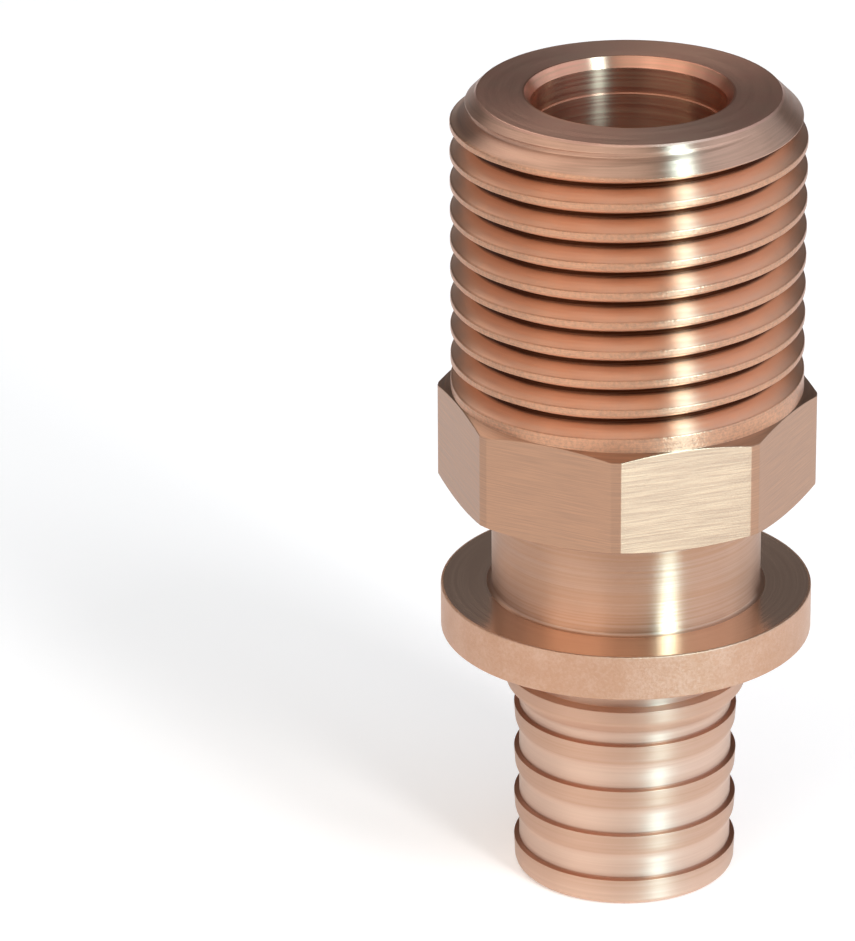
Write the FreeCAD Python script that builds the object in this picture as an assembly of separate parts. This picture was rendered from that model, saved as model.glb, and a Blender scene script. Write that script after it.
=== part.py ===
"""Male adapter for half-inch PEX pipe, turned from one length of octagonal bar.

Sizes are in millimetres. The axis is +Z and the part stands on the end of its
pipe insert at Z = 0, with the male thread at the top.
"""
import math
import os

import FreeCAD
import Part

# Heights above the foot of the insert
OVERALL_LENGTH = 49.6
COLLAR_BOTTOM = 15.75
COLLAR_THICKNESS = 2.75
NECK_LENGTH = 6.35
OCTAGON_HEIGHT = 6.4

# Pipe insert: saw-tooth barbs below a larger stop shoulder
BARB_COUNT = 4
BARB_DIAMETER = 13.44
BARB_LAND_DIAMETER = 13.3
BARB_LAND_LENGTH = 1.07
BARB_TAPER_LENGTH = 0.5
BARB_ROOT_DIAMETER = 12.8
BARB_PITCH = 2.97
TOP_BARB_HEIGHT = 10.58
STOP_DIAMETER = 14.52
STOP_LAND_DIAMETER = 14.44
STOP_LAND_LENGTH = 0.9
STOP_TAPER_LENGTH = 0.9
STOP_HEIGHT = 13.1
RECESS_DIAMETER = 13.0
FOOT_CHAMFER = 0.3

# Collar and neck
COLLAR_DIAMETER = 22.2
NECK_DIAMETER = 16.1
NECK_FILLET = 0.2

# Wrench octagon, its corners turned off and chamfered
ACROSS_FLATS = 21.0
CORNER_DIAMETER = 22.5
CORNER_CHAMFER_DIAMETER = 20.7
CORNER_CHAMFER_HEIGHT = 0.36

# Parallel half-inch pipe thread, right-handed
THREAD_DIAMETER = 20.9
THREAD_PITCH = 25.4 / 14
THREAD_DEPTH = 1.16
THREAD_ROOT_FLAT = 0.25
FLANK_ANGLE = 27.5
END_CHAMFER = 1.55
GROOVE_HEIGHT = 33.08       # middle of the lowest groove where it crosses +X
RUN_OUT_START = -116.0      # degrees round the axis
RUN_OUT_END = -182.0
RUN_OUT_LIFT = 1.4

# Waterway
MOUTH_DIAMETER = 12.26
MOUTH_CHAMFER_DEPTH = 0.63
COUNTERBORE_DIAMETER = 11.5
COUNTERBORE_DEPTH = 2.2
UPPER_BORE_DIAMETER = 11.3
UPPER_BORE_BOTTOM = 24.0
LOWER_BORE_DIAMETER = 9.6
DRILL_POINT_ANGLE = 59.0
FOOT_BORE_CHAMFER = 0.3

NODE = "adapter_body"


def turned(outline):
    """Revolve a list of (radius, height) points that starts and ends on the axis."""
    spots = [FreeCAD.Vector(radius, 0, height) for radius, height in outline]
    face = Part.Face(Part.makePolygon(spots + spots[:1]))
    return face.revolve(FreeCAD.Vector(), FreeCAD.Vector(0, 0, 1), 360)


def insert_outline():
    """Outline of the barbed insert, from the foot up to the stop shoulder."""
    barb_r, land_r = BARB_DIAMETER / 2, BARB_LAND_DIAMETER / 2
    root_r = BARB_ROOT_DIAMETER / 2
    outline = [(land_r - FOOT_CHAMFER, 0), (land_r, FOOT_CHAMFER)]
    for i in range(BARB_COUNT):
        shoulder = TOP_BARB_HEIGHT - BARB_PITCH * (BARB_COUNT - 1 - i)
        land = shoulder - BARB_LAND_LENGTH
        if i > 0:
            outline.append((root_r, land - BARB_TAPER_LENGTH))
        outline += [(land_r, land), (barb_r, shoulder), (root_r, shoulder)]
    stop_land = STOP_HEIGHT - STOP_LAND_LENGTH
    outline += [(root_r, stop_land - STOP_TAPER_LENGTH),
                (STOP_LAND_DIAMETER / 2, stop_land),
                (STOP_DIAMETER / 2, STOP_HEIGHT),
                (RECESS_DIAMETER / 2, STOP_HEIGHT)]
    return outline


def insert_collar_neck():
    """Barbed insert, collar and neck, turned in one profile."""
    recess_r, collar_r = RECESS_DIAMETER / 2, COLLAR_DIAMETER / 2
    neck_r, fillet = NECK_DIAMETER / 2, NECK_FILLET
    collar_top = COLLAR_BOTTOM + COLLAR_THICKNESS
    neck_top = collar_top + NECK_LENGTH + 1
    return turned([(0, 0)] + insert_outline() + [
        (recess_r, COLLAR_BOTTOM), (collar_r, COLLAR_BOTTOM),
        (collar_r, collar_top),
        (neck_r + fillet, collar_top), (neck_r, collar_top + fillet),
        (neck_r, neck_top), (0, neck_top)])


def octagon(bottom, top):
    """Wrench octagon between two heights."""
    corner = ACROSS_FLATS / 2 / math.cos(math.radians(22.5))
    angles = [math.radians(22.5 + 45 * i) for i in range(9)]
    spots = [FreeCAD.Vector(corner * math.cos(a), corner * math.sin(a), bottom)
             for a in angles]
    prism = Part.Face(Part.makePolygon(spots)).extrude(
        FreeCAD.Vector(0, 0, top - bottom))
    end_r, full_r = CORNER_CHAMFER_DIAMETER / 2, CORNER_DIAMETER / 2
    return prism.common(turned([
        (0, bottom), (end_r, bottom),
        (full_r, bottom + CORNER_CHAMFER_HEIGHT),
        (full_r, top - CORNER_CHAMFER_HEIGHT),
        (end_r, top), (0, top)]))


def thread_blank(bottom):
    """Plain cylinder for the thread, with the chamfer at its open end."""
    radius = THREAD_DIAMETER / 2
    return turned([
        (0, bottom), (radius, bottom), (radius, OVERALL_LENGTH - END_CHAMFER),
        (radius - END_CHAMFER, OVERALL_LENGTH), (0, OVERALL_LENGTH)])


def groove_path():
    """Line along the bottom of the groove, rising out of the metal at its foot."""
    root_r = THREAD_DIAMETER / 2 - THREAD_DEPTH
    last = 360 * (OVERALL_LENGTH + 1 - GROOVE_HEIGHT) / THREAD_PITCH
    steps = int((last - RUN_OUT_END) / 15) + 1
    points = []
    for i in range(steps + 1):
        angle = RUN_OUT_END + (last - RUN_OUT_END) * i / steps
        out = max(0.0, (RUN_OUT_START - angle) / (RUN_OUT_START - RUN_OUT_END))
        radius = root_r + RUN_OUT_LIFT * out ** 2
        turn = math.radians(angle)
        points.append(FreeCAD.Vector(
            radius * math.cos(turn), radius * math.sin(turn),
            GROOVE_HEIGHT + THREAD_PITCH * angle / 360))
    curve = Part.BSplineCurve()
    curve.interpolate(points)
    return curve


def thread_groove():
    """The helical groove, as a solid to be cut out of the blank."""
    curve = groove_path()
    start = curve.StartPoint
    outward = FreeCAD.Vector(start.x, start.y, 0).normalize()
    up = FreeCAD.Vector(0, 0, 1)
    reach = THREAD_DEPTH + 0.28
    inner = THREAD_ROOT_FLAT / 2
    outer = inner + reach * math.tan(math.radians(FLANK_ANGLE))
    corners = [start - up * inner, start + up * inner,
               start + outward * reach + up * outer,
               start + outward * reach - up * outer]
    sweep = Part.BRepOffsetAPI.MakePipeShell(Part.Wire(curve.toShape()))
    sweep.setBiNormalMode(up)
    sweep.add(Part.makePolygon(corners + corners[:1]), False, False)
    sweep.build()
    sweep.makeSolid()
    return sweep.shape()


def waterway():
    """The stepped hole that runs from the thread end to the foot."""
    mouth_r, bore_r = MOUTH_DIAMETER / 2, COUNTERBORE_DIAMETER / 2
    upper_r, lower_r = UPPER_BORE_DIAMETER / 2, LOWER_BORE_DIAMETER / 2
    step = OVERALL_LENGTH - COUNTERBORE_DEPTH
    cone = (upper_r - lower_r) / math.tan(math.radians(DRILL_POINT_ANGLE))
    return turned([
        (0, -1), (lower_r + FOOT_BORE_CHAMFER, -1),
        (lower_r + FOOT_BORE_CHAMFER, 0), (lower_r, FOOT_BORE_CHAMFER),
        (lower_r, UPPER_BORE_BOTTOM - cone), (upper_r, UPPER_BORE_BOTTOM),
        (upper_r, step), (bore_r, step),
        (bore_r, OVERALL_LENGTH - MOUTH_CHAMFER_DEPTH),
        (mouth_r, OVERALL_LENGTH),
        (mouth_r, OVERALL_LENGTH + 1), (0, OVERALL_LENGTH + 1)])


def adapter():
    """The whole fitting, one solid."""
    bottom = COLLAR_BOTTOM + COLLAR_THICKNESS + NECK_LENGTH
    top = bottom + OCTAGON_HEIGHT
    blank = insert_collar_neck().fuse([octagon(bottom, top),
                                       thread_blank(top - 1)])
    return blank.cut(waterway()).removeSplitter().cut(thread_groove())


def main():
    """Write the part's STEP file."""
    os.makedirs("parts", exist_ok=True)
    adapter().Solids[0].exportStep(f"parts/{NODE}.step")


main()
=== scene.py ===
"""The look of the turned bronze adapter: its finely rounded metal, stage, lights and camera.

Lengths are in millimetres until the mesh is made, where MM turns them into metres.
"""

import math

import bmesh
import bpy
import numpy as np
from mathutils import Matrix, Vector
from mathutils.kdtree import KDTree


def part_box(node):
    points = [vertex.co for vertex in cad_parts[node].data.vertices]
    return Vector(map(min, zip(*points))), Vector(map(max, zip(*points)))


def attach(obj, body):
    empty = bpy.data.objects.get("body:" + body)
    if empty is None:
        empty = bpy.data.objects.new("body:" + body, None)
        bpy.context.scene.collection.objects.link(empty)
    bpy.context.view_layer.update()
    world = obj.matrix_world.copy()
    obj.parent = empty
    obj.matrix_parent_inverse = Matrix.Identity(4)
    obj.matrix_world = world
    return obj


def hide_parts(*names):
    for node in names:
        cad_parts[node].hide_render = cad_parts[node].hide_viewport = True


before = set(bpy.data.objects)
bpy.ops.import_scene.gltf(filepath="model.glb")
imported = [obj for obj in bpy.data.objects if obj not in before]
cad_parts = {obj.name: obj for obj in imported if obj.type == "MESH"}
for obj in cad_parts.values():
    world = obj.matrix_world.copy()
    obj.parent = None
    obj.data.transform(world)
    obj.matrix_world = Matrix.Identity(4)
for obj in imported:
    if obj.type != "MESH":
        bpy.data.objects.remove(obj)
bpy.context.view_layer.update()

MM = 0.001
NODE = "adapter_body"

# Heights above the foot of the insert
OVERALL_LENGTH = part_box(NODE)[1].z / MM
COLLAR_BOTTOM = 15.75
COLLAR_THICKNESS = 2.75
NECK_LENGTH = 6.35
OCTAGON_HEIGHT = 6.4
COLLAR_TOP = COLLAR_BOTTOM + COLLAR_THICKNESS
OCTAGON_BOTTOM = COLLAR_TOP + NECK_LENGTH
OCTAGON_TOP = OCTAGON_BOTTOM + OCTAGON_HEIGHT

# Pipe insert
BARB_COUNT = 4
BARB_RADIUS = 6.72
BARB_LAND_RADIUS = 6.65
BARB_LAND_LENGTH = 1.07
BARB_TAPER_LENGTH = 0.5
BARB_ROOT_RADIUS = 6.4
BARB_PITCH = 2.97
TOP_BARB_HEIGHT = 10.58
STOP_RADIUS = 7.26
STOP_LAND_RADIUS = 7.22
STOP_LAND_LENGTH = 0.9
STOP_TAPER_LENGTH = 0.9
STOP_HEIGHT = 13.1
RECESS_RADIUS = 6.5

# Collar and neck
COLLAR_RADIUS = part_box(NODE)[1].x / MM
NECK_RADIUS = 8.05

# Wrench octagon
FLAT_DISTANCE = 10.5
CORNER_RADIUS = 11.25
CHAMFER_END_RADIUS = 10.35
CHAMFER_HEIGHT = 0.36
CHAMFER_SLOPE = (CORNER_RADIUS - CHAMFER_END_RADIUS) / CHAMFER_HEIGHT

# Right-handed parallel pipe thread
THREAD_RADIUS = 10.45
THREAD_PITCH = 25.4 / 14
THREAD_DEPTH = 1.16
ROOT_RADIUS = THREAD_RADIUS - THREAD_DEPTH
ROOT_HALF_WIDTH = 0.125
FLANK_SLOPE = 1 / math.tan(math.radians(27.5))
END_CHAMFER = 1.55
CONE_START = OVERALL_LENGTH - END_CHAMFER
GROOVE_HEIGHT = 33.08
RUN_OUT_START = -116.0
RUN_OUT_END = -182.0
RUN_OUT_LIFT = 1.4

# Waterway
MOUTH_RADIUS = 6.13
MOUTH_CHAMFER = 0.63
COUNTERBORE_RADIUS = 5.75
COUNTERBORE_DEPTH = 2.2
UPPER_BORE_RADIUS = 5.65
UPPER_BORE_BOTTOM = 24.0
LOWER_BORE_RADIUS = 4.8
DRILL_POINT = math.radians(59.0)
FOOT_BORE_CHAMFER = 0.3

# Rounding radii of the turned edges and corners
FOOT_ROUND = 0.42
STOP_EDGE_ROUND = 0.05
STOP_LAND_ROUND = 0.5
STOP_ROOT_ROUND = 0.6
BARB_CORNER_ROUND = 0.04
BARB_EDGE_ROUND = 0.045
BARB_LAND_ROUND = 0.9
BARB_ROOT_ROUND = 1.0
RECESS_ROUND = 0.2
RIM_ROUND = 0.09
NECK_FILLET = 0.2
NECK_TOP_FILLET = 0.12
END_FACE_ROUND = 0.08
FOOT_BORE_ROUND = 0.08
DRILL_POINT_ROUND = 0.1
COUNTERBORE_ROUND = 0.03
MOUTH_CORNER_ROUND = 0.06
MOUTH_EDGE_ROUND = 0.05

# Distances from an edge at which the finish changes
LEDGE_INNER_MARGIN = 0.3
LEDGE_OUTER_MARGIN = 0.15
BORE_FOOT_MARGIN = 0.5
BORE_MOUTH_MARGIN = 0.1
END_FACE_MARGIN = 0.12

# Edge softness, as differences of radius over which two surfaces blend
CREST_BLEND = 0.1
ROOT_BLEND = 0.12
CONE_BLEND = 0.08
FLAT_EDGE_BLEND = 0.022
CHAMFER_EDGE_BLEND = 0.09

# Mesh density
FLAT_COLUMNS = 17
EDGE_COLUMN_GAP = math.radians(0.3)
FLAT_MARGIN = 6 * EDGE_COLUMN_GAP
FIRST_THREAD_ROW = 0.03
MERGE_DISTANCE = 0.0015

# Regions of the surface, in the order of the piece's materials
NECK, LEDGE, INSERT, THREAD, FLATS, RIM, END_FACE, BORE = range(8)


def soft_min(a, b, blend):
    """The smaller of two surfaces, with their meeting edge rounded over."""
    near = np.maximum(blend - np.abs(a - b), 0) / blend
    return np.minimum(a, b) - near * near * blend / 4


def soft_max(a, b, blend):
    """The larger of two surfaces, with their meeting corner filled in."""
    return -soft_min(-a, -b, blend)


def column_angles():
    """Angles of the mesh columns for a whole turn, set close beside the octagon's corners."""
    edge = math.acos(FLAT_DISTANCE / CORNER_RADIUS)
    inner = edge - FLAT_MARGIN
    ends = np.array([edge - EDGE_COLUMN_GAP, edge, edge + EDGE_COLUMN_GAP])
    sector = np.concatenate([[-math.pi / 8], -ends[::-1],
                             np.linspace(-inner, inner, FLAT_COLUMNS), ends])
    turn = np.concatenate([sector + i * math.pi / 4 for i in range(8)])
    return np.append(turn, turn[0] + 2 * math.pi)


def rounded(corners, steps=3):
    """Outline through (radius, height, rounding) corners, with an arc of steps at each rounded one."""
    spots = [np.array(c[:2], float) for c in corners]
    outline = []
    for i, (spot, (_, _, rounding)) in enumerate(zip(spots, corners)):
        if rounding == 0 or i in (0, len(corners) - 1):
            outline.append(spot)
            continue
        back, ahead = spots[i - 1] - spot, spots[i + 1] - spot
        back, ahead = back / np.linalg.norm(back), ahead / np.linalg.norm(ahead)
        half = math.acos(max(-1.0, min(1.0, float(back @ ahead)))) / 2
        reach = rounding / math.tan(half)
        centre = spot + (back + ahead) / np.linalg.norm(back + ahead) * rounding / math.sin(half)
        first, last = spot + back * reach - centre, spot + ahead * reach - centre
        sweep = math.pi - 2 * half
        for k in range(steps + 1):
            a, b = math.sin(sweep * (1 - k / steps)), math.sin(sweep * k / steps)
            outline.append(centre + (first * a + last * b) / math.sin(sweep))
    return np.array(outline)


def insert_corners():
    """Corners of the barbed insert, from the stop shoulder down to the foot."""
    stop_land = STOP_HEIGHT - STOP_LAND_LENGTH
    corners = [(RECESS_RADIUS, STOP_HEIGHT, STOP_EDGE_ROUND),
               (STOP_RADIUS, STOP_HEIGHT, STOP_EDGE_ROUND),
               (STOP_LAND_RADIUS, stop_land, STOP_LAND_ROUND),
               (BARB_ROOT_RADIUS, stop_land - STOP_TAPER_LENGTH, STOP_ROOT_ROUND)]
    for i in range(BARB_COUNT):
        shoulder = TOP_BARB_HEIGHT - BARB_PITCH * i
        land = shoulder - BARB_LAND_LENGTH
        corners += [(BARB_ROOT_RADIUS, shoulder, BARB_CORNER_ROUND),
                    (BARB_RADIUS, shoulder, BARB_EDGE_ROUND)]
        if i < BARB_COUNT - 1:
            corners += [(BARB_LAND_RADIUS, land, BARB_LAND_ROUND),
                        (BARB_ROOT_RADIUS, land - BARB_TAPER_LENGTH, BARB_ROOT_ROUND)]
    return corners + [(BARB_LAND_RADIUS, 0, FOOT_ROUND)]


def waterway_corners():
    """Corners of the stepped hole, from the foot up to the mouth."""
    cone = (UPPER_BORE_RADIUS - LOWER_BORE_RADIUS) / math.tan(DRILL_POINT)
    step = OVERALL_LENGTH - COUNTERBORE_DEPTH
    return [(LOWER_BORE_RADIUS + FOOT_BORE_CHAMFER, 0, FOOT_BORE_ROUND),
            (LOWER_BORE_RADIUS, FOOT_BORE_CHAMFER, FOOT_BORE_ROUND),
            (LOWER_BORE_RADIUS, UPPER_BORE_BOTTOM - cone, DRILL_POINT_ROUND),
            (UPPER_BORE_RADIUS, UPPER_BORE_BOTTOM, DRILL_POINT_ROUND),
            (UPPER_BORE_RADIUS, step, COUNTERBORE_ROUND),
            (COUNTERBORE_RADIUS, step, COUNTERBORE_ROUND),
            (COUNTERBORE_RADIUS, OVERALL_LENGTH - MOUTH_CHAMFER, MOUTH_CORNER_ROUND),
            (MOUTH_RADIUS, OVERALL_LENGTH, MOUTH_EDGE_ROUND)]


def turned_strip(angles, corners, region):
    """Surface of revolution through an outline's corners, as rows of points with their region."""
    outline = rounded(corners)
    radius = np.repeat(outline[:, :1], len(angles), axis=1)
    height = np.repeat(outline[:, 1:], len(angles), axis=1)
    return radius, height, region


def octagon_strip(angles):
    """The octagon's side with its arched corner chamfers, from its underside to the thread."""
    off_flat = (angles + math.pi / 8) % (math.pi / 4) - math.pi / 8
    side = soft_min(FLAT_DISTANCE / np.cos(off_flat), CORNER_RADIUS + 0 * angles, FLAT_EDGE_BLEND)
    inset = (side - CHAMFER_END_RADIUS) / CHAMFER_SLOPE
    gap = CHAMFER_EDGE_BLEND / CHAMFER_SLOPE
    low_rows = [inset + gap * k for k in (-1, -0.5, 0, 0.5, 1)]
    top = OCTAGON_TOP - (THREAD_RADIUS - CHAMFER_END_RADIUS) / CHAMFER_SLOPE
    rows = [0 * inset] + [np.maximum(row, 0) for row in low_rows]
    rows += [0 * inset + OCTAGON_HEIGHT * share for share in (0.15, 0.5, 0.85)]
    rows += [OCTAGON_HEIGHT - row for row in low_rows[::-1]]
    height = np.minimum(OCTAGON_BOTTOM + np.array(rows + [0 * inset + OCTAGON_HEIGHT]), top)
    above = CHAMFER_END_RADIUS + (height - OCTAGON_BOTTOM) * CHAMFER_SLOPE
    below = CHAMFER_END_RADIUS + (OCTAGON_TOP - height) * CHAMFER_SLOPE
    ends = np.minimum(above, below)
    radius = soft_min(np.broadcast_to(side, height.shape), ends, CHAMFER_EDGE_BLEND)
    radius[0] = CHAMFER_END_RADIUS
    radius = np.where(height >= top, THREAD_RADIUS, radius)
    return radius, height, FLATS


def groove_edges(middle, root):
    """Heights where a groove's lower and upper flanks leave the crest or the end chamfer."""
    depth = np.maximum(THREAD_RADIUS - root, 0)
    meets = CONE_START + depth
    low = middle - ROOT_HALF_WIDTH - depth / FLANK_SLOPE
    low_on_cone = ((middle - ROOT_HALF_WIDTH) * FLANK_SLOPE - meets) / (FLANK_SLOPE - 1)
    low = np.minimum(np.where(low > CONE_START, low_on_cone, low), meets)
    high = middle + ROOT_HALF_WIDTH + depth / FLANK_SLOPE
    high_on_cone = ((middle + ROOT_HALF_WIDTH) * FLANK_SLOPE + meets) / (FLANK_SLOPE + 1)
    high = np.where(middle + ROOT_HALF_WIDTH > meets, meets, np.minimum(high, high_on_cone))
    return low, high


def groove_run(angles, turn):
    """Middle height and root radius of the groove for one turn, rising out at its start."""
    along = np.degrees(angles) + 360 * turn
    out = np.clip((RUN_OUT_START - along) / (RUN_OUT_START - RUN_OUT_END), 0, 1)
    return GROOVE_HEIGHT + THREAD_PITCH * along / 360, ROOT_RADIUS + RUN_OUT_LIFT * out ** 2


def groove_rows(angles, turn):
    """Heights of the mesh rows of one turn of the groove and of the crest above it.

    Rows lie close where an edge is rounded: at the crests, at the root's corners and where the
    end chamfer begins.
    """
    middle, root = groove_run(angles, turn)
    low, high = groove_edges(middle, root)
    soft = CREST_BLEND / FLANK_SLOPE
    corner = ROOT_BLEND / FLANK_SLOPE
    left, right = middle - ROOT_HALF_WIDTH, middle + ROOT_HALF_WIDTH
    inside = [low, low + soft / 2, low + soft, (low + left) / 2,
              left - corner, left - corner / 2, left, left + corner * 0.8,
              right - corner * 0.8, right, right + corner / 2, right + corner,
              (high + right) / 2, high - soft, high - soft / 2, high]
    rows = [low - soft, low - soft / 2] + [np.clip(row, low, high) for row in inside]
    rows += [high + soft / 2, high + soft]
    next_low = groove_edges(*groove_run(angles, turn + 1))[0] - soft
    rows += [np.clip(CONE_START + k * CONE_BLEND, high + soft, np.maximum(next_low, high + soft))
             for k in (-1, -0.5, 0, 0.5, 1)]
    return rows


def thread_strip(angles, top):
    """The helical thread from the octagon up to the end chamfer, row by row along the groove."""
    bottom = OCTAGON_TOP - (THREAD_RADIUS - CHAMFER_END_RADIUS) / CHAMFER_SLOPE
    lowest = math.floor(RUN_OUT_END / 360) - 1
    turns = range(lowest, int((OVERALL_LENGTH - GROOVE_HEIGHT) / THREAD_PITCH) + 1)
    rows = [0 * angles + bottom, 0 * angles + bottom + FIRST_THREAD_ROW]
    for turn in turns:
        rows += groove_rows(angles, turn)
    rows.append(0 * angles + top)
    height = np.maximum.accumulate(np.clip(np.array(rows), bottom, top), axis=0)
    blank = soft_min(THREAD_RADIUS + 0 * height, THREAD_RADIUS + CONE_START - height, CONE_BLEND)
    groove = 0 * height + 2 * THREAD_RADIUS
    for turn in turns:
        middle, root = groove_run(angles, turn)
        flank = (np.abs(height - middle) - ROOT_HALF_WIDTH) * FLANK_SLOPE
        groove = np.minimum(groove, root + soft_max(flank, 0 * flank, ROOT_BLEND))
    radius = soft_min(blank, groove, CREST_BLEND)
    radius[0] = THREAD_RADIUS
    radius[-1] = THREAD_RADIUS + CONE_START - top
    return radius, height, THREAD


def strips(angles):
    """All the surface, in strips that share their end rings."""
    ledge_start = (NECK_RADIUS + LEDGE_INNER_MARGIN, COLLAR_TOP, 0)
    ledge_end = (COLLAR_RADIUS - LEDGE_OUTER_MARGIN, COLLAR_TOP, 0)
    rim_end = (COLLAR_RADIUS - LEDGE_OUTER_MARGIN, COLLAR_BOTTOM, 0)
    foot = (LOWER_BORE_RADIUS + BORE_FOOT_MARGIN, 0, 0)
    mouth = (MOUTH_RADIUS + BORE_MOUTH_MARGIN, OVERALL_LENGTH, 0)
    face_outer = THREAD_RADIUS - END_CHAMFER
    top = OVERALL_LENGTH - END_FACE_MARGIN
    neck = [(CHAMFER_END_RADIUS, OCTAGON_BOTTOM, 0), (NECK_RADIUS, OCTAGON_BOTTOM, NECK_TOP_FILLET),
            (NECK_RADIUS, COLLAR_TOP, NECK_FILLET), ledge_start]
    ledge = [ledge_start, ledge_end]
    rim = [ledge_end, (COLLAR_RADIUS, COLLAR_TOP, RIM_ROUND),
           (COLLAR_RADIUS, COLLAR_BOTTOM, RIM_ROUND), rim_end]
    insert = [rim_end, (RECESS_RADIUS, COLLAR_BOTTOM, RECESS_ROUND)] + insert_corners() + [foot]
    bore = [foot] + waterway_corners() + [mouth]
    face = [mouth, (face_outer, OVERALL_LENGTH, END_FACE_ROUND),
            (face_outer + END_FACE_MARGIN, top, 0)]
    return [turned_strip(angles, neck, NECK), turned_strip(angles, ledge, LEDGE),
            turned_strip(angles, rim, RIM), turned_strip(angles, insert, INSERT),
            turned_strip(angles, bore, BORE), turned_strip(angles, face, END_FACE),
            octagon_strip(angles), thread_strip(angles, top)]


def slope(values, angles):
    """Rate of change along each row of a strip that closes on itself."""
    gap = np.diff(angles)
    rise = np.diff(values, axis=1) / gap
    before, after = np.roll(gap, 1), gap
    middle = (np.roll(rise, 1, axis=1) * after + rise * before) / (before + after)
    return np.concatenate([middle, middle[:, :1]], axis=1)


def facing(radius, height, angles, region):
    """Outward direction at each point of a strip, as long as the area it stands for."""
    out = np.stack([np.cos(angles), np.sin(angles), 0 * angles], axis=1)
    around = np.stack([-np.sin(angles), np.cos(angles), 0 * angles], axis=1)
    up = np.array([0.0, 0.0, 1.0])
    spots = radius[..., None] * out + height[..., None] * up
    if region == FLATS:
        steps = np.diff(spots, axis=1)
        steps = steps + np.roll(steps, 1, axis=1)
        along = np.concatenate([steps, steps[:, :1]], axis=1)
        along /= np.linalg.norm(along, axis=2, keepdims=True)
    else:
        along = (slope(radius, angles)[..., None] * out + radius[..., None] * around
                 + slope(height, angles)[..., None] * up)
        along /= np.linalg.norm(along, axis=2, keepdims=True)
    rows = np.diff(spots, axis=0)
    edge = np.zeros_like(spots[:1])
    lengths = np.linalg.norm(rows, axis=2, keepdims=True)
    weighted = np.concatenate([edge, rows * lengths]) + np.concatenate([rows * lengths, edge])
    return np.cross(along, weighted)


def joined_facings(mesh, points, facings):
    """Unit normal of each vertex, summed over the strip points that were welded into it."""
    tree = KDTree(len(points))
    for i, point in enumerate(points):
        tree.insert(point, i)
    tree.balance()
    normals = []
    for vertex in mesh.vertices:
        near = tree.find_range(vertex.co, 1.5 * MERGE_DISTANCE)
        total = sum((Vector(facings[i]) for _, i, _ in near), Vector())
        if total.dot(vertex.normal) < 0:
            total.negate()
        normals.append(total.normalized())
    return normals


def adapter_piece(materials):
    """The fitting as one closed mesh."""
    angles = column_angles()
    points, facings, faces, regions = [], [], [], []
    for radius, height, region in strips(angles):
        start = len(points)
        rows, columns = radius.shape
        spots = np.stack([radius * np.cos(angles), radius * np.sin(angles), height], axis=2)
        points += spots.reshape(-1, 3).tolist()
        facings += facing(radius, height, angles, region).reshape(-1, 3).tolist()
        for i in range(rows - 1):
            for j in range(columns - 1):
                corner = start + i * columns + j
                faces.append((corner, corner + 1, corner + columns + 1, corner + columns))
                regions.append(region)
    mesh = bpy.data.meshes.new("adapter")
    mesh.from_pydata(points, [], faces)
    mesh.polygons.foreach_set("material_index", regions)
    weld(mesh)
    normals = joined_facings(mesh, points, facings)
    mesh.transform(Matrix.Scale(MM, 4))
    mesh.shade_smooth()
    mesh.normals_split_custom_set_from_vertices(normals)
    piece = bpy.data.objects.new("adapter", mesh)
    bpy.context.scene.collection.objects.link(piece)
    for material in materials:
        mesh.materials.append(material)
    return piece


def weld(mesh):
    """Join the strips, drop faces of no area and turn all faces outward."""
    work = bmesh.new()
    work.from_mesh(mesh)
    bmesh.ops.remove_doubles(work, verts=work.verts, dist=MERGE_DISTANCE)
    bmesh.ops.dissolve_degenerate(work, dist=MERGE_DISTANCE / 4, edges=work.edges)
    bmesh.ops.recalc_face_normals(work, faces=work.faces)
    work.to_mesh(mesh)
    work.free()


def add(tree, kind, inputs=(), **settings):
    """A new shader node, with its settings and with its inputs set or linked."""
    node = tree.nodes.new(kind)
    for name, value in settings.items():
        setattr(node, name, value)
    for name, value in dict(inputs).items():
        if isinstance(value, bpy.types.NodeSocket):
            tree.links.new(value, node.inputs[name])
        else:
            node.inputs[name].default_value = value
    return node


def math_node(tree, operation, first, second=0.0, third=0.0):
    """The result of one sum on two or three numbers."""
    values = {0: first, 1: second}
    if operation in ("MULTIPLY_ADD", "WRAP"):
        values[2] = third
    return add(tree, "ShaderNodeMath", values, operation=operation).outputs[0]


def spread(tree, value, low, high, new_low=0.0, new_high=1.0):
    """A value mapped smoothly from one range to another and held at its ends."""
    values = {"Value": value, "From Min": low, "From Max": high, "To Min": new_low, "To Max": new_high}
    return add(tree, "ShaderNodeMapRange", values, interpolation_type="SMOOTHSTEP").outputs[0]


def place(tree):
    """Position in millimetres as (vector, radius from the axis, height)."""
    position = add(tree, "ShaderNodeTexCoord").outputs["Object"]
    scaled = add(tree, "ShaderNodeVectorMath", {0: position, "Scale": 1 / MM}, operation="SCALE")
    parts = add(tree, "ShaderNodeSeparateXYZ", {0: scaled.outputs[0]})
    across = add(tree, "ShaderNodeCombineXYZ", {"X": parts.outputs["X"], "Y": parts.outputs["Y"]})
    radius = add(tree, "ShaderNodeVectorMath", {0: across.outputs[0]}, operation="LENGTH")
    return scaled.outputs[0], radius.outputs["Value"], parts.outputs["Z"]


def noise(tree, vector, scale, detail=2.0, roughness=0.5):
    """Soft noise from 0 to 1."""
    values = {"Vector": vector, "Scale": scale, "Detail": detail, "Roughness": roughness}
    return add(tree, "ShaderNodeTexNoise", values).outputs["Fac"]


def ring_marks(tree, spot, run, width, length, detail=3.0):
    """Noise drawn out round the axis: marks of a width along the run, and of a length round it."""
    parts = add(tree, "ShaderNodeSeparateXYZ", {0: spot})
    along = add(tree, "ShaderNodeCombineXYZ", {
        "X": math_node(tree, "MULTIPLY", parts.outputs["X"], 1 / length),
        "Y": math_node(tree, "MULTIPLY", parts.outputs["Y"], 1 / length),
        "Z": math_node(tree, "MULTIPLY", run, 1 / width)})
    return noise(tree, along.outputs[0], 1.0, detail, 0.6)


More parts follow.
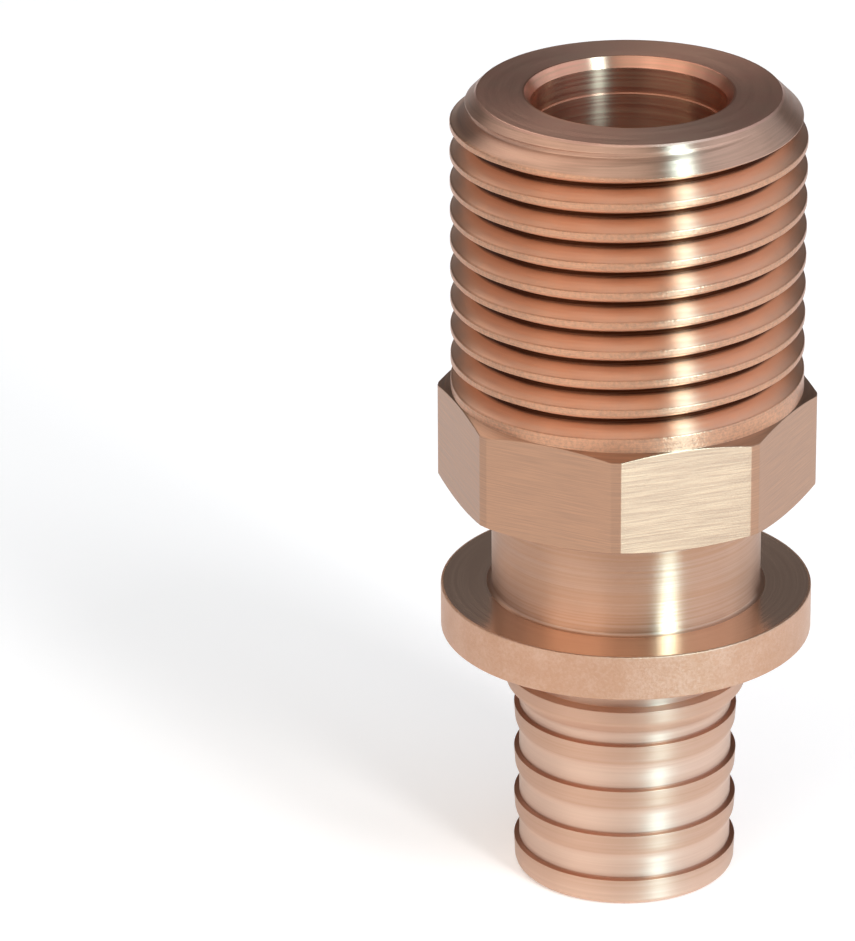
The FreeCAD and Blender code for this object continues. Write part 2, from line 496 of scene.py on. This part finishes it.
def bump(tree, height, depth, under=None):
    """Normals bent by a height from 0 to 1 that stands for a depth in millimetres."""
    values = {"Height": height, "Strength": 1.0, "Distance": depth * MM}
    if under is not None:
        values["Normal"] = under
    return add(tree, "ShaderNodeBump", values).outputs["Normal"]


def bronze(name, finish):
    """Turned bronze in the finish given by a function of the tree, the place and the shader."""
    material = bpy.data.materials.new(name)
    material.use_nodes = True
    tree = material.node_tree
    shader = tree.nodes["Principled BSDF"]
    shader.inputs["Metallic"].default_value = 1.0
    tangent = add(tree, "ShaderNodeTangent", direction_type="RADIAL", axis="Z")
    tree.links.new(tangent.outputs[0], shader.inputs["Tangent"])
    shader.inputs["Anisotropic Rotation"].default_value = 0.25
    finish(tree, shader, *place(tree))
    return material


def mixed(tree, amount, first, second):
    """Colour between two, each given as numbers or by a node."""
    ends = [end + (1,) if isinstance(end, tuple) else end for end in (first, second)]
    # The node has one set of sockets for each data type: these numbers are its colour sockets
    values = {"Factor": amount, 6: ends[0], 7: ends[1]}
    return add(tree, "ShaderNodeMix", values, data_type="RGBA").outputs[2]


def tint(tree, shader, amount, deep, light):
    """Base colour between a deep and a light tone."""
    tree.links.new(mixed(tree, amount, deep, light), shader.inputs["Base Color"])


def set_gloss(tree, shader, amount, smooth, coarse, stretch):
    """Roughness between two values, with the gloss stretched across the turning marks."""
    tree.links.new(spread(tree, amount, 0.3, 0.7, smooth, coarse), shader.inputs["Roughness"])
    shader.inputs["Anisotropic"].default_value = stretch


def set_normal(tree, shader, normal):
    """Normals of the surface, as a bump gives them."""
    tree.links.new(normal, shader.inputs["Normal"])


# Tones of the bronze, from painted shade for the thread's root and the barbs' corners to freshly cut
# metal
ROOT_SHADE = (0.05, 0.013, 0.005)
PAINTED_CORNER_SHADE = (0.44, 0.18, 0.1)
BRUSHED_BRONZE = (0.4, 0.24, 0.165)
DEEP_BRONZE = (0.56, 0.32, 0.205)
RED_BRONZE = (0.63, 0.28, 0.19)
LIGHT_BRONZE = (0.67, 0.435, 0.32)
DULL_BRONZE = (0.7, 0.36, 0.275)
ORANGE_BRONZE = (0.76, 0.4, 0.245)
PALE_BRONZE = (0.76, 0.52, 0.4)
TURNED_BRONZE = (0.8, 0.48, 0.35)
SATIN_BRONZE = (0.87, 0.65, 0.52)
CUT_BRONZE = (0.92, 0.55, 0.36)
FACED_BRONZE = (0.96, 0.73, 0.57)


def neck_finish(tree, shader, spot, radius, height):
    """Fine turning marks on the neck."""
    fine = ring_marks(tree, spot, height, width=0.11, length=16.0, detail=4.0)
    tint(tree, shader, spread(tree, fine, 0.3, 0.7), DEEP_BRONZE, LIGHT_BRONZE)
    set_gloss(tree, shader, fine, smooth=0.34, coarse=0.43, stretch=1.0)
    set_normal(tree, shader, bump(tree, fine, depth=0.012))


def ledge_finish(tree, shader, spot, radius, height):
    """Faced top of the collar, nearly a mirror, with faint rings."""
    fine = ring_marks(tree, spot, radius, width=0.11, length=14.0)
    tint(tree, shader, fine, PALE_BRONZE, FACED_BRONZE)
    set_gloss(tree, shader, fine, smooth=0.14, coarse=0.22, stretch=0.7)
    set_normal(tree, shader, bump(tree, fine, depth=0.001))


def insert_finish(tree, shader, spot, radius, height):
    """Pale satin on the insert, with deeper lands and a painted brown shade line in each barb's
    corner.
    """
    run = math_node(tree, "MULTIPLY_ADD", radius, 0.6, height)
    fine = ring_marks(tree, spot, run, width=0.15, length=12.0, detail=4.0)
    land = spread(tree, radius, BARB_ROOT_RADIUS + 0.04, BARB_LAND_RADIUS - 0.03)
    land = math_node(tree, "MULTIPLY", land, spread(tree, height, 0.6, 1.8, 0.35, 1.0))
    pale = mixed(tree, fine, LIGHT_BRONZE, SATIN_BRONZE)
    surface = mixed(tree, land, pale, mixed(tree, fine, DEEP_BRONZE, PALE_BRONZE))
    # Height above the nearest shoulder, counted from just under it
    shoulder = TOP_BARB_HEIGHT - BARB_PITCH - 0.02
    above = math_node(tree, "WRAP", height, shoulder + BARB_PITCH, shoulder)
    # Painted shade: a brown line in the corner just above each barb's shoulder, held to the barbs
    corner = spread(tree, above, shoulder + 0.05, shoulder + 0.2, 0.8, 0.0)
    barbed = spread(tree, height, TOP_BARB_HEIGHT + 1.0, TOP_BARB_HEIGHT + 1.5, 1.0, 0.0)
    tint(tree, shader, math_node(tree, "MULTIPLY", corner, barbed), surface, PAINTED_CORNER_SHADE)
    set_gloss(tree, shader, fine, smooth=0.43, coarse=0.53, stretch=0.85)
    set_normal(tree, shader, bump(tree, fine, depth=0.006))


def thread_finish(tree, shader, spot, radius, height):
    """Streaks along the helix, painted shade that darkens the flanks into the root, and slightly
    ragged crests.
    """
    # Height measured along the helix, so that the streaks follow the groove
    parts = add(tree, "ShaderNodeSeparateXYZ", {0: spot})
    turn = math_node(tree, "ARCTAN2", parts.outputs["Y"], parts.outputs["X"])
    rise = math_node(tree, "MULTIPLY_ADD", turn, -THREAD_PITCH / (2 * math.pi), height)
    across = math_node(tree, "WRAP", rise, GROOVE_HEIGHT + THREAD_PITCH, GROOVE_HEIGHT)
    streaks = ring_marks(tree, spot, across, width=0.08, length=5.0, detail=4.0)
    blotches = noise(tree, spot, scale=0.9, detail=3.0, roughness=0.6)
    grain = noise(tree, spot, scale=5.0, detail=3.0, roughness=0.7)
    # Depth below the blank, which tells crest, flank and root apart
    cone = math_node(tree, "SUBTRACT", THREAD_RADIUS + CONE_START, height)
    blank = math_node(tree, "MINIMUM", cone, THREAD_RADIUS)
    depth = math_node(tree, "SUBTRACT", blank, radius)
    inside = math_node(tree, "MULTIPLY_ADD", streaks, 0.15, depth)
    crest = spread(tree, depth, 0.02, 0.14, 1.0, 0.0)
    # Painted shade: the flanks turn a deeper orange towards the root, and the root itself is tinted
    # nearly black
    low = spread(tree, inside, 0.25, THREAD_DEPTH)
    root = spread(tree, inside, THREAD_DEPTH - 0.12, THREAD_DEPTH + 0.08)
    side = spread(tree, cone, THREAD_RADIUS - 0.15, THREAD_RADIUS)
    flank = mixed(tree, low, mixed(tree, blotches, CUT_BRONZE, PALE_BRONZE), ORANGE_BRONZE)
    specks = spread(tree, math_node(tree, "ADD", grain, streaks), 0.45, 1.4)
    cut = mixed(tree, crest, flank, mixed(tree, specks, BRUSHED_BRONZE, ORANGE_BRONZE))
    surface = mixed(tree, side, mixed(tree, streaks, BRUSHED_BRONZE, TURNED_BRONZE), cut)
    # Painted shade laid over the root of the groove
    tint(tree, shader, root, surface, ROOT_SHADE)
    set_gloss(tree, shader, streaks, smooth=0.28, coarse=0.37, stretch=1.0)
    rough = math_node(tree, "MULTIPLY", grain, spread(tree, side, 0.0, 1.0, 0.15, 1.0))
    ragged = math_node(tree, "MULTIPLY", rough, crest)
    drawn = bump(tree, streaks, depth=0.01)
    set_normal(tree, shader, bump(tree, ragged, depth=0.018, under=drawn))


def flat_finish(tree, shader, spot, radius, height):
    """Level brushed lines on the octagon's flats."""
    fine = ring_marks(tree, spot, height, width=0.075, length=3.5, detail=4.0)
    tint(tree, shader, spread(tree, fine, 0.2, 0.8), BRUSHED_BRONZE, DEEP_BRONZE)
    set_gloss(tree, shader, fine, smooth=0.28, coarse=0.34, stretch=0.95)
    grain = bump(tree, noise(tree, spot, scale=5.0, detail=3.0, roughness=0.6), depth=0.006)
    set_normal(tree, shader, bump(tree, fine, depth=0.007, under=grain))


def rim_finish(tree, shader, spot, radius, height):
    """Matt, finely stippled rim of the collar."""
    grain = noise(tree, spot, scale=5.0, detail=4.0, roughness=0.7)
    broad = noise(tree, spot, scale=0.6)
    speckled = spread(tree, math_node(tree, "MULTIPLY_ADD", grain, 2.5, broad), 1.2, 2.6)
    tint(tree, shader, speckled, DEEP_BRONZE, LIGHT_BRONZE)
    set_gloss(tree, shader, grain, smooth=0.36, coarse=0.52, stretch=0.3)
    drawn = bump(tree, ring_marks(tree, spot, height, width=0.12, length=2.5), depth=0.008)
    set_normal(tree, shader, bump(tree, grain, depth=0.045, under=drawn))


def end_finish(tree, shader, spot, radius, height):
    """The thread's end face: faint rings and a fine grain."""
    fine = ring_marks(tree, spot, radius, width=0.12, length=6.0)
    blotches = noise(tree, spot, scale=0.5, detail=3.0, roughness=0.6)
    tint(tree, shader, blotches, DULL_BRONZE, LIGHT_BRONZE)
    set_gloss(tree, shader, fine, smooth=0.3, coarse=0.38, stretch=0.6)
    grain = bump(tree, noise(tree, spot, scale=7.0, detail=3.0, roughness=0.7), depth=0.008)
    set_normal(tree, shader, bump(tree, fine, depth=0.003, under=grain))


def bore_finish(tree, shader, spot, radius, height):
    """Drilled and reamed bore with plain rings."""
    fine = ring_marks(tree, spot, height, width=0.1, length=12.0, detail=2.0)
    tint(tree, shader, spread(tree, fine, 0.2, 0.8), RED_BRONZE, DEEP_BRONZE)
    set_gloss(tree, shader, fine, smooth=0.28, coarse=0.36, stretch=0.92)
    set_normal(tree, shader, bump(tree, fine, depth=0.002))


# One finish for each region, in the regions' order
FINISHES = [neck_finish, ledge_finish, insert_finish, thread_finish, flat_finish, rim_finish,
            end_finish, bore_finish]


# Camera, fitted to the outlines in the photograph
CAMERA_AZIMUTH = math.radians(-64.3)
CAMERA_ELEVATION = math.radians(23.474)
CAMERA_DISTANCE = 381.9
CAMERA_ROLL = math.radians(0.394)
TARGET_HEIGHT = 25.0
FOCAL_PIXELS = 6413.35
PHOTO_WIDTH, PHOTO_HEIGHT = 855, 941
TARGET_PIXEL = (626.62, 480.0)
SENSOR = 36.0
NEAR_CLIP, FAR_CLIP = 0.01, 20.0    # metres


def make_camera():
    """The camera at the photograph's viewing angle."""
    data = bpy.data.cameras.new("camera")
    camera = bpy.data.objects.new("camera", data)
    bpy.context.scene.collection.objects.link(camera)
    bpy.context.scene.camera = camera
    data.sensor_width = SENSOR
    data.lens = FOCAL_PIXELS / PHOTO_HEIGHT * SENSOR
    data.shift_x = (PHOTO_WIDTH / 2 - TARGET_PIXEL[0]) / PHOTO_HEIGHT
    data.shift_y = (TARGET_PIXEL[1] - PHOTO_HEIGHT / 2) / PHOTO_HEIGHT
    data.clip_start, data.clip_end = NEAR_CLIP, FAR_CLIP
    back = Vector((math.cos(CAMERA_AZIMUTH) * math.cos(CAMERA_ELEVATION),
                   math.sin(CAMERA_AZIMUTH) * math.cos(CAMERA_ELEVATION),
                   math.sin(CAMERA_ELEVATION)))
    target = Vector((0, 0, TARGET_HEIGHT * MM))
    camera.rotation_mode = "QUATERNION"
    camera.location = target + back * CAMERA_DISTANCE * MM
    roll = Matrix.Rotation(CAMERA_ROLL, 3, back)
    camera.rotation_quaternion = (roll @ (-back).to_track_quat("-Z", "Y").to_matrix()).to_quaternion()


# Studio. Azimuths are counted to the right of the camera, and angles are in degrees
SKY = (0.13, 0.12, 0.118)
# Soft patches of light as (name, azimuth, elevation, inner radius, outer radius, colour)
PATCHES = [
    ("front_high", -8, 50, 5, 32, (1.48, 1.52, 1.5)),
    ("left_high", -75, 38, 6, 32, (0.65, 0.63, 0.6)),
    ("back_left", -148, 52, 4, 26, (1.8, 1.72, 1.65)),
    ("back_right", 128, 52, 5, 24, (0.3, 0.3, 0.3)),
    ("front_left", -45, 25, 5, 35, (1.3, 1.25, 1.18)),
    ("left", -100, 15, 5, 32, (0.3, 0.32, 0.36)),
    ("front_right", 72, 28, 8, 40, (1.12, 1.32, 1.55)),
    ("right", 112, 8, 6, 29, (0.95, 1.15, 1.35)),
]
# Soft boxes as (name, azimuth, elevation, distance, width, height, power, colour, what it lights).
# The part's are tinted for its reflections, and the floor's are white
SOFT_BOXES = [
    ("key", 36, 20, 500, 85, 200, 0.85, (0.76, 1.48, 1.8), "piece"),
    ("key_high", 42, 45, 500, 85, 150, 0.45, (0.78, 1.45, 1.75), "piece"),
    ("floor_key", 36, 20, 500, 85, 200, 0.9, (1.1, 1.1, 1.1), "floor"),
    ("floor_key_high", 42, 45, 500, 85, 150, 0.45, (1.1, 1.1, 1.1), "floor"),
]
FLOOR_GLOW = (0.175, 0.175, 0.175)
FLOOR_COLOUR = (0.92, 0.92, 0.92)
FLOOR_REACH = 3.0    # metres


def direction(azimuth, elevation):
    """Unit vector towards a place in the studio, azimuth counted to the right of the camera."""
    turn, lift = CAMERA_AZIMUTH + math.radians(azimuth), math.radians(elevation)
    return Vector((math.cos(turn) * math.cos(lift), math.sin(turn) * math.cos(lift), math.sin(lift)))


def make_sky():
    """A dim room with soft bright patches on its walls and ceiling."""
    world = bpy.data.worlds.new("studio")
    bpy.context.scene.world = world
    world.use_nodes = True
    tree = world.node_tree
    towards = add(tree, "ShaderNodeTexCoord").outputs["Generated"]
    total = add(tree, "ShaderNodeCombineXYZ", {0: SKY[0], 1: SKY[1], 2: SKY[2]}).outputs[0]
    for name, azimuth, elevation, inner, outer, colour in PATCHES:
        axis = direction(azimuth, elevation)
        near = add(tree, "ShaderNodeVectorMath", {0: towards, 1: axis}, operation="DOT_PRODUCT")
        share = spread(tree, near.outputs["Value"], math.cos(math.radians(outer)),
                       math.cos(math.radians(inner)))
        lit = add(tree, "ShaderNodeVectorMath", {0: colour, "Scale": share}, operation="SCALE",
                  label=name)
        sums = {0: total, 1: lit.outputs[0]}
        total = add(tree, "ShaderNodeVectorMath", sums, operation="ADD").outputs[0]
    tree.links.new(total, tree.nodes["Background"].inputs["Color"])


def make_soft_box(name, azimuth, elevation, distance, width, height, power, colour, lit):
    """A rectangular soft light that faces the middle of the part and lights one object."""
    light = bpy.data.lights.new(name, "AREA")
    light.shape = "RECTANGLE"
    light.size, light.size_y = width * MM, height * MM
    light.energy, light.color = power, colour
    lamp = bpy.data.objects.new(name, light)
    bpy.context.scene.collection.objects.link(lamp)
    towards = direction(azimuth, elevation)
    lamp.location = towards * distance * MM + Vector((0, 0, TARGET_HEIGHT * MM))
    lamp.rotation_mode = "QUATERNION"
    lamp.rotation_quaternion = towards.to_track_quat("Z", "Y")
    lamp.light_linking.receiver_collection = bpy.data.collections.new(name)
    lamp.light_linking.receiver_collection.objects.link(lit)


def make_floor():
    """A wide pale floor."""
    mesh = bpy.data.meshes.new("floor")
    corners = [(x * FLOOR_REACH, y * FLOOR_REACH, 0) for x, y in ((-1, -1), (1, -1), (1, 1), (-1, 1))]
    mesh.from_pydata(corners, [], [(0, 1, 2, 3)])
    floor = bpy.data.objects.new("floor", mesh)
    bpy.context.scene.collection.objects.link(floor)
    material = bpy.data.materials.new("paper")
    material.use_nodes = True
    shader = material.node_tree.nodes["Principled BSDF"]
    shader.inputs["Base Color"].default_value = FLOOR_COLOUR + (1,)
    shader.inputs["Roughness"].default_value = 0.8
    shader.inputs["Specular IOR Level"].default_value = 0.1
    shader.inputs["Emission Color"].default_value = FLOOR_GLOW + (1,)
    shader.inputs["Emission Strength"].default_value = 1.0
    mesh.materials.append(material)
    return floor


def make_studio(piece):
    """Floor, sky and soft boxes."""
    objects = {"piece": piece, "floor": make_floor()}
    make_sky()
    for *box, lit in SOFT_BOXES:
        make_soft_box(*box, objects[lit])
    bpy.context.scene.view_settings.view_transform = "Standard"


piece = adapter_piece([bronze(finish.__name__, finish) for finish in FINISHES])
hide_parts(NODE)
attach(piece, "root")
make_camera()
make_studio(piece)
